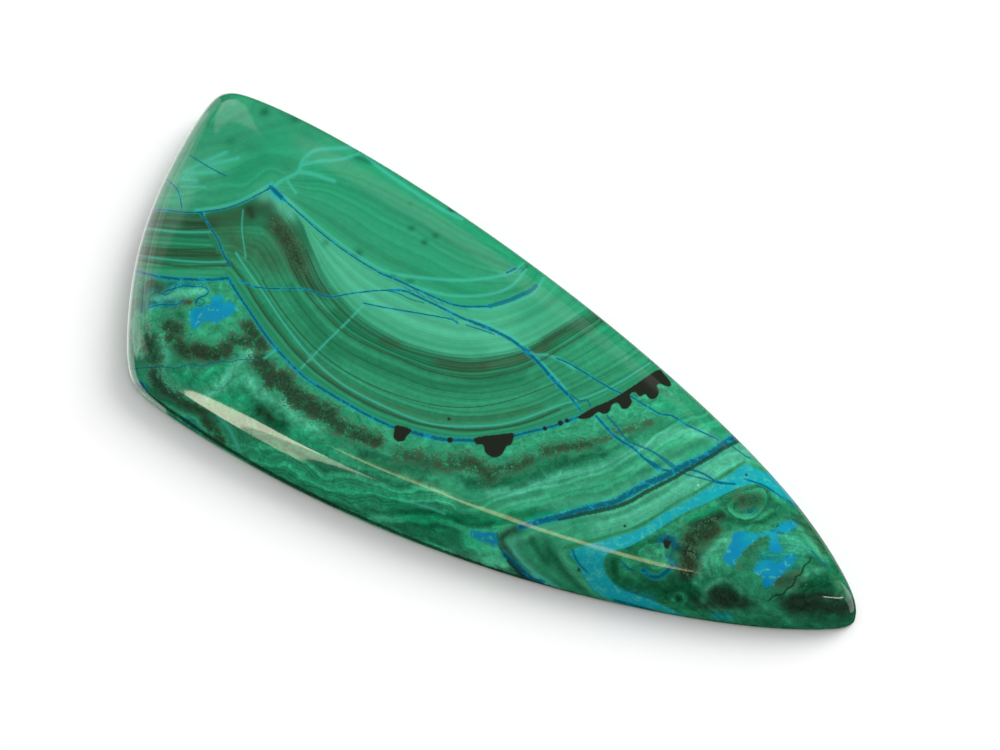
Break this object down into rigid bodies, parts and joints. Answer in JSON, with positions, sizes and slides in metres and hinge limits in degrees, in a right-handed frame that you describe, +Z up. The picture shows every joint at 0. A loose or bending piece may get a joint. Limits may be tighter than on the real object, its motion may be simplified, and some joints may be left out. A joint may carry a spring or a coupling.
{
  "type": "polished chrysocolla cabochon",
  "caption": "Freeform polished cabochon of green and blue banded chrysocolla with malachite, a long rounded triangle with a flat back and a low dome.",
  "frame": {"origin": "middle of the underside's bounding box, on the flat back", "axes": "+Z up, out of the dome; +X along the stone's length, towards its tip; +Y towards the long straight far side"},
  "size_m": [0.0592, 0.0248, 0.0054],
  "materials": {
    "polished_stone": "hard stone with a lapidary's polish, banded green with blue veins and dark spots"
  },
  "bodies": {
    "root": {"polished_stone": "polished_stone"}
  },
  "joints": []
}
